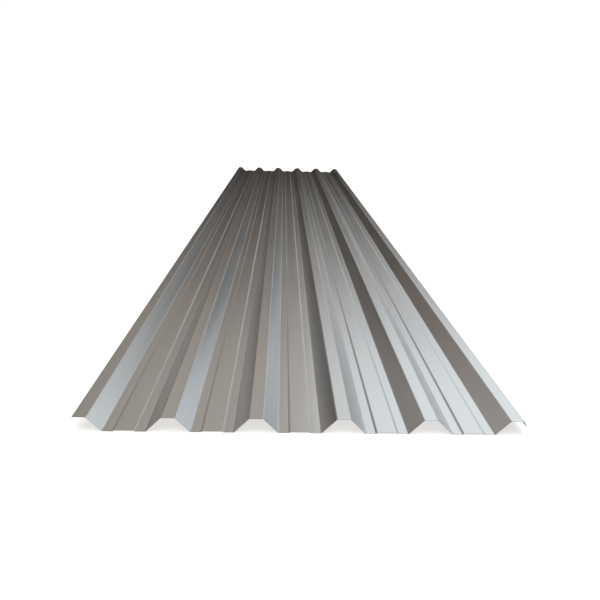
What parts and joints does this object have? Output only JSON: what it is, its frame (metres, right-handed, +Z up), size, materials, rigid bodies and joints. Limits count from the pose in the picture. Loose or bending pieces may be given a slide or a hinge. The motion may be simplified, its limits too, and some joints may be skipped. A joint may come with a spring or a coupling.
{
  "type": "trapezoidal roofing sheet",
  "caption": "Long roofing and cladding sheet, roll formed from coated steel strip, with flat-topped ribs, stiffened troughs and a turned-down leg along its right edge.",
  "frame": {"origin": "centre of the sheet's footprint, level with the underside of its troughs", "axes": "+Y along the ribs, +X across them towards the edge with the turned-down leg, +Z up out of the ribs' crowns"},
  "size_m": [1.0372, 6, 0.035],
  "materials": {
    "coated_steel": "plain aluminium-zinc coated steel, roll formed, satin metallic with a fine spangle"
  },
  "bodies": {
    "root": {"trapezoidal_sheet": "coated_steel"}
  },
  "joints": []
}
